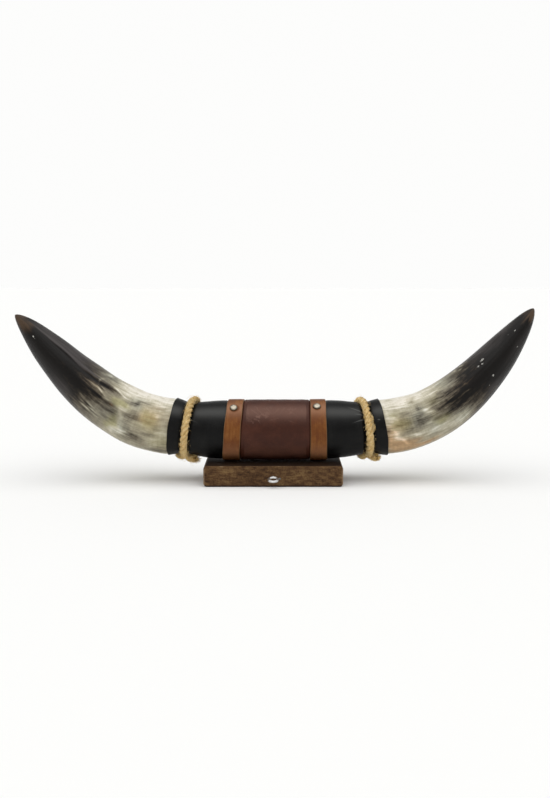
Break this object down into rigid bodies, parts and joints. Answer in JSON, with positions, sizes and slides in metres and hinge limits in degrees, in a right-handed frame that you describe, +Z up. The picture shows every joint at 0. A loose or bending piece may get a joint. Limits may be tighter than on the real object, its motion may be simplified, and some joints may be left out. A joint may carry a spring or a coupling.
{
  "type": "mounted pair of buffalo horns",
  "caption": "Polished buffalo horns joined end to end by a leather-wrapped wooden core with straps and rope ties, standing on a stained wooden block.",
  "frame": {"origin": "middle of the block's underside", "axes": "+X from the left horn to the right horn, +Y to the back, +Z up"},
  "size_m": [0.6217, 0.0977, 0.2062],
  "materials": {
    "horn": "polished horn, satin",
    "turned_wood": "plain turned softwood",
    "black_leather": "smooth black leather, satin",
    "brown_leather": "red-brown leather, waxed",
    "tan_leather": "tan harness leather",
    "nickel": "nickel-plated dome nail",
    "sisal": "three-strand sisal rope",
    "stained_wood": "dark brown stain, dull",
    "zinc_steel": "bright zinc-plated steel"
  },
  "bodies": {
    "root": {"left_horn": "horn", "right_horn": "horn", "core": "turned_wood", "left_sleeve": "black_leather", "right_sleeve": "black_leather", "centre_wrap": "brown_leather", "left_strap": "tan_leather", "right_strap": "tan_leather", "left_nail": "nickel", "right_nail": "nickel", "left_rope": "sisal", "right_rope": "sisal", "base_block": "stained_wood", "screw_eye": "zinc_steel", "left_base_screw": "zinc_steel", "right_base_screw": "zinc_steel"}
  },
  "joints": []
}
